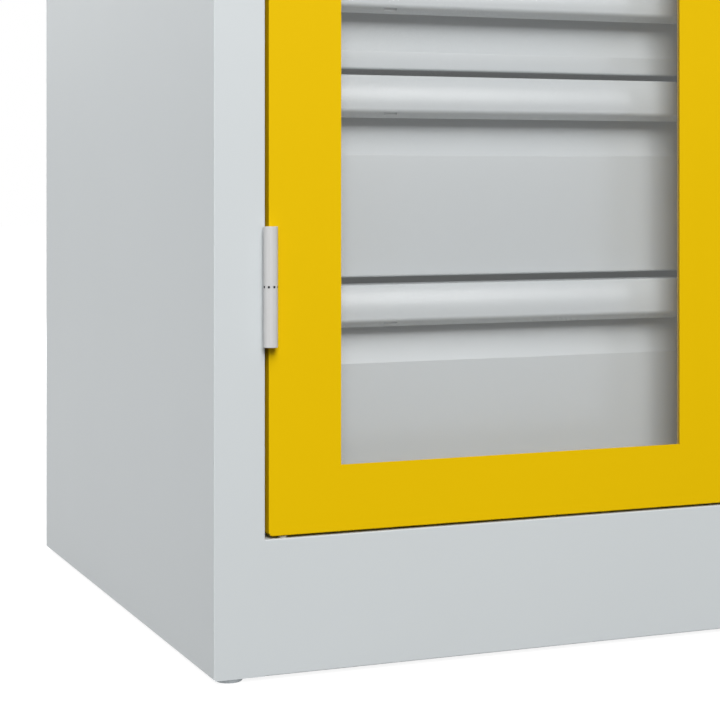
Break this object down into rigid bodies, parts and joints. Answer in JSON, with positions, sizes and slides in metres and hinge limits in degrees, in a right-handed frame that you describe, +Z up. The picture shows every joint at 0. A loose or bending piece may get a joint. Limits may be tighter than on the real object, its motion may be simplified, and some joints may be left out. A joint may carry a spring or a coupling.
{
  "type": "heavy-duty cabinet",
  "caption": "Free-standing sheet-steel cabinet on a tall plinth, with two hinged doors that have clear window panes and full-width drawers with rolled handle strips behind them.",
  "frame": {"origin": "centre of the whole cabinet's footprint rectangle, on the floor", "axes": "+X to the right seen from the front, +Y from the front to the back, +Z up; the doors face -Y"},
  "size_m": [1, 0.6348, 1],
  "materials": {
    "casing_paint": "light grey powder coat, satin",
    "door_paint": "strong yellow powder coat, satin",
    "drawer_paint": "light grey powder coat, satin",
    "hinge_paint": "plain light grey paint",
    "plated_steel": "bright zinc plate",
    "foot_steel": "dull zinc plate",
    "lock_nickel": "satin nickel plate",
    "handle_coat": "black powder coat on a zinc casting",
    "magnet_block": "dark magnet strip",
    "buffer_rubber": "soft pale grey pad",
    "clear_pane": "clear, plain and smooth"
  },
  "bodies": {
    "casing": {"left_side_panel": "casing_paint", "left_runner_rack": "plated_steel", "left_door_buffer": "buffer_rubber", "front_left_levelling_foot": "foot_steel", "rear_left_levelling_foot": "foot_steel", "left_lower_hinge_frame_knuckle": "hinge_paint", "left_lower_hinge_washer": "hinge_paint", "left_upper_hinge_frame_knuckle": "hinge_paint", "left_upper_hinge_washer": "hinge_paint", "right_side_panel": "casing_paint", "right_runner_rack": "plated_steel", "right_door_buffer": "buffer_rubber", "front_right_levelling_foot": "foot_steel", "rear_right_levelling_foot": "foot_steel", "right_lower_hinge_frame_knuckle": "hinge_paint", "right_lower_hinge_washer": "hinge_paint", "right_upper_hinge_frame_knuckle": "hinge_paint", "right_upper_hinge_washer": "hinge_paint", "rear_panel": "casing_paint", "top_panel": "casing_paint", "floor_panel": "casing_paint", "front_plinth": "casing_paint", "rear_plinth": "casing_paint", "upper_magnet_catch": "magnet_block", "lower_magnet_catch": "magnet_block"},
    "left_door": {"left_door_frame": "door_paint", "left_door_pane": "clear_pane", "left_pane_retainer": "door_paint", "left_lower_hinge_door_knuckle": "hinge_paint", "left_upper_hinge_door_knuckle": "hinge_paint"},
    "right_door": {"right_door_frame": "door_paint", "right_door_pane": "clear_pane", "right_pane_retainer": "door_paint", "right_lower_hinge_door_knuckle": "hinge_paint", "right_upper_hinge_door_knuckle": "hinge_paint", "handle_rose": "handle_coat", "upper_rod_guide": "plated_steel", "lower_rod_guide": "plated_steel"},
    "turning_handle": {"turn_handle": "handle_coat", "latch_cam": "plated_steel"},
    "cylinder": {"lock_cylinder": "lock_nickel"},
    "upper_rod": {"upper_lock_rod": "plated_steel"},
    "lower_rod": {"lower_lock_rod": "plated_steel"},
    "drawer_1": {"drawer_1_front": "drawer_paint", "drawer_1_tray": "drawer_paint"},
    "drawer_2": {"drawer_2_front": "drawer_paint", "drawer_2_tray": "drawer_paint"},
    "drawer_3": {"drawer_3_front": "drawer_paint", "drawer_3_tray": "drawer_paint"},
    "drawer_4": {"drawer_4_front": "drawer_paint", "drawer_4_tray": "drawer_paint"},
    "drawer_5": {"drawer_5_front": "drawer_paint", "drawer_5_tray": "drawer_paint"},
    "drawer_6": {"drawer_6_front": "drawer_paint", "drawer_6_tray": "drawer_paint"},
    "drawer_7": {"drawer_7_front": "drawer_paint", "drawer_7_tray": "drawer_paint"}
  },
  "joints": [
    {"name": "left_door_hinge", "type": "hinge", "parent": "casing", "child": "left_door", "pos_m": [-0.454, -0.2891, 0.5], "axis": [0, 0, -1], "range_deg": [0, 180]},
    {"name": "right_door_hinge", "type": "hinge", "parent": "casing", "child": "right_door", "pos_m": [0.454, -0.2891, 0.5], "axis": [0, 0, 1], "range_deg": [0, 180]},
    {"name": "handle_turn", "type": "hinge", "parent": "right_door", "child": "turning_handle", "pos_m": [0.0332, -0.29925, 0.5874], "axis": [0, -1, 0], "range_deg": [0, 90]},
    {"name": "key_turn", "type": "hinge", "parent": "turning_handle", "child": "cylinder", "pos_m": [0.0332, -0.3159, 0.5874], "axis": [0, -1, 0], "range_deg": [0, 90]},
    {"name": "upper_rod_slide", "type": "slide", "parent": "right_door", "child": "upper_rod", "axis": [0, 0, 1], "range_m": [0, 0.017]},
    {"name": "lower_rod_slide", "type": "slide", "parent": "right_door", "child": "lower_rod", "axis": [0, 0, -1], "range_m": [0, 0.017]},
    {"name": "drawer_1_slide", "type": "slide", "parent": "casing", "child": "drawer_1", "axis": [0, -1, 0], "range_m": [0, 0.025]},
    {"name": "drawer_2_slide", "type": "slide", "parent": "casing", "child": "drawer_2", "axis": [0, -1, 0], "range_m": [0, 0.025]},
    {"name": "drawer_3_slide", "type": "slide", "parent": "casing", "child": "drawer_3", "axis": [0, -1, 0], "range_m": [0, 0.025]},
    {"name": "drawer_4_slide", "type": "slide", "parent": "casing", "child": "drawer_4", "axis": [0, -1, 0], "range_m": [0, 0.025]},
    {"name": "drawer_5_slide", "type": "slide", "parent": "casing", "child": "drawer_5", "axis": [0, -1, 0], "range_m": [0, 0.025]},
    {"name": "drawer_6_slide", "type": "slide", "parent": "casing", "child": "drawer_6", "axis": [0, -1, 0], "range_m": [0, 0.025]},
    {"name": "drawer_7_slide", "type": "slide", "parent": "casing", "child": "drawer_7", "axis": [0, -1, 0], "range_m": [0, 0.025]}
  ],
  "couplings": [
    {"joint": "upper_rod_slide", "follows": "handle_turn", "m_per_rad": 0.0108},
    {"joint": "lower_rod_slide", "follows": "handle_turn", "m_per_rad": 0.0108}
  ]
}
